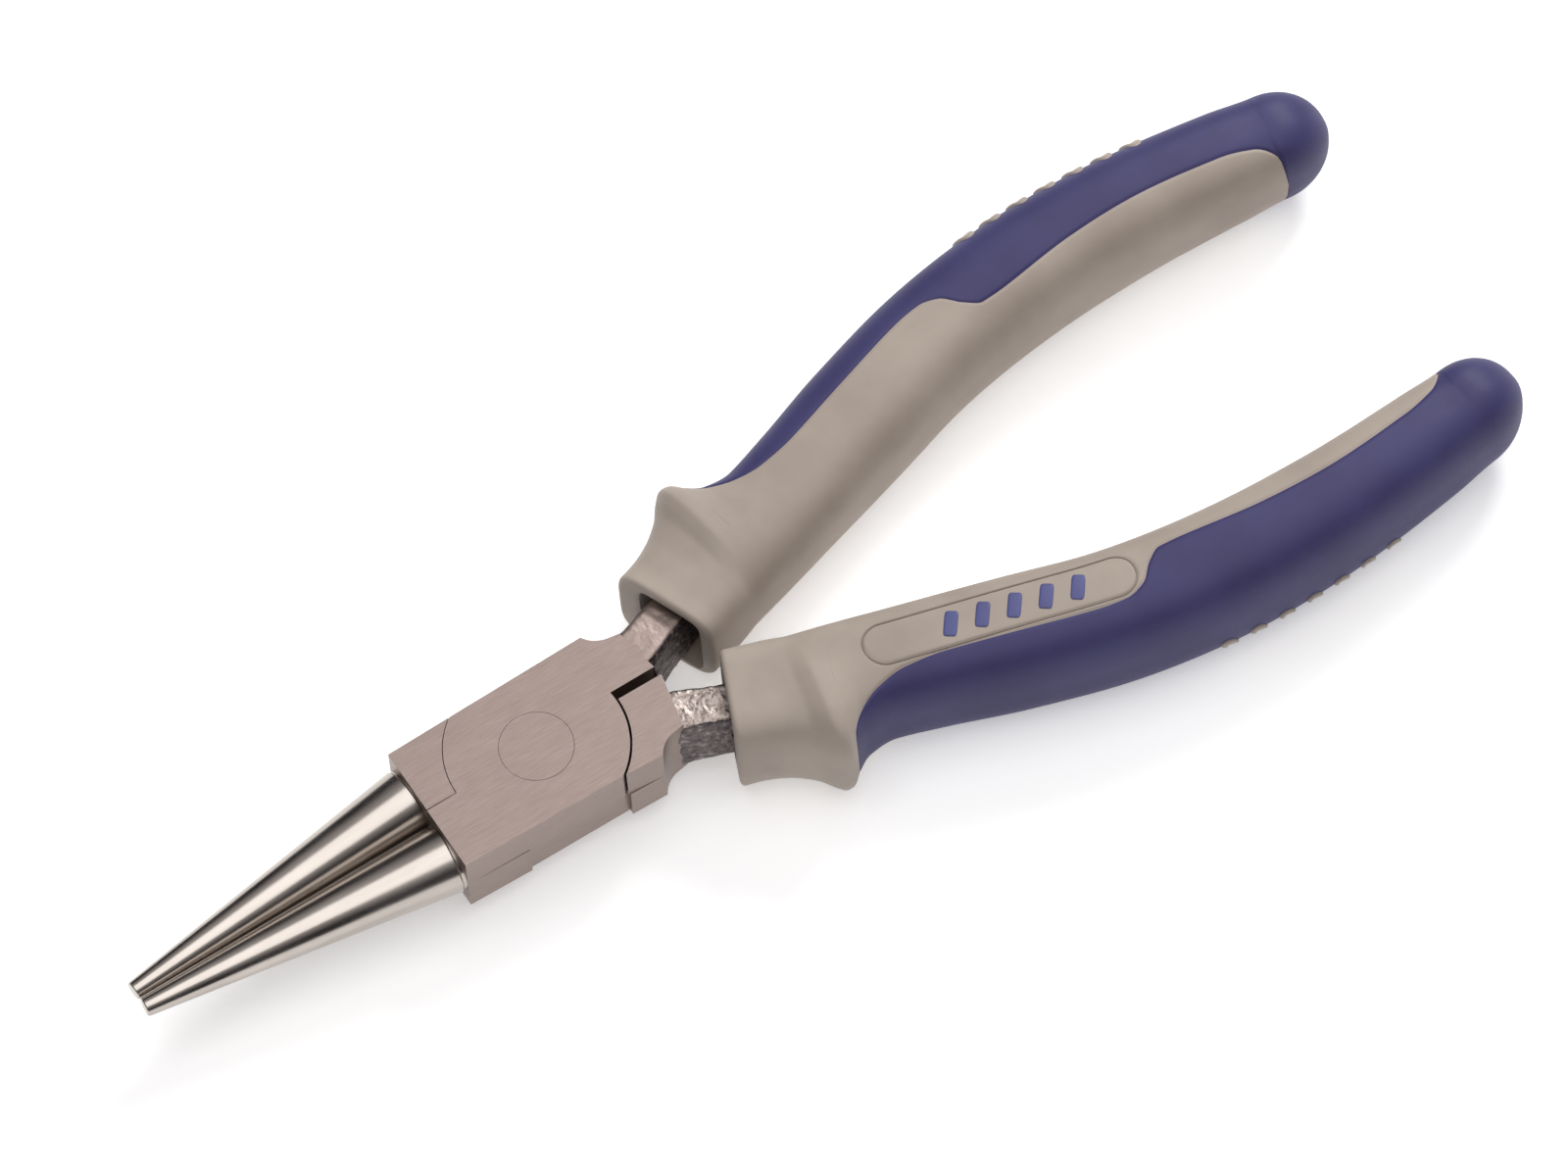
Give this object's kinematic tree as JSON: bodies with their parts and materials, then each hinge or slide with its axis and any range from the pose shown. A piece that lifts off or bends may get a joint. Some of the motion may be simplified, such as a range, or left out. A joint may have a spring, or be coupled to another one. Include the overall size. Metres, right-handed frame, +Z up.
{
  "type": "round nose pliers",
  "caption": "Small lap-joint pliers with round tapered jaws, closed at rest, and two-colour moulded grips with a flared guard.",
  "frame": {"origin": "point where the rivet's axis meets the ground underside of the joint", "axes": "+X along the centreline to the jaw tips, +Y to the left handle, +Z up along the rivet"},
  "size_m": [0.1606, 0.0546, 0.0155],
  "materials": {
    "forged_steel": "ground joint, polished jaws, rough forged necks",
    "rivet_steel": "ground flush with the joint",
    "grey_grip": "matt moulded",
    "blue_skin": "satin moulded",
    "blue_bars": "satin moulded",
    "grey_pads": "matt moulded"
  },
  "bodies": {
    "left_half": {"left_forging": "forged_steel", "pivot_rivet": "rivet_steel", "left_grip": "grey_grip", "left_overmould": "blue_skin", "left_label_bars": "blue_bars", "left_back_pads": "grey_pads"},
    "right_half": {"right_forging": "forged_steel", "right_grip": "grey_grip", "right_overmould": "blue_skin", "right_label_bars": "blue_bars", "right_back_pads": "grey_pads"}
  },
  "joints": [
    {"name": "pivot", "type": "hinge", "parent": "left_half", "child": "right_half", "pos_m": [0, 0, 0.00475], "axis": [0, 0, 1], "range_deg": [0, 45]}
  ]
}
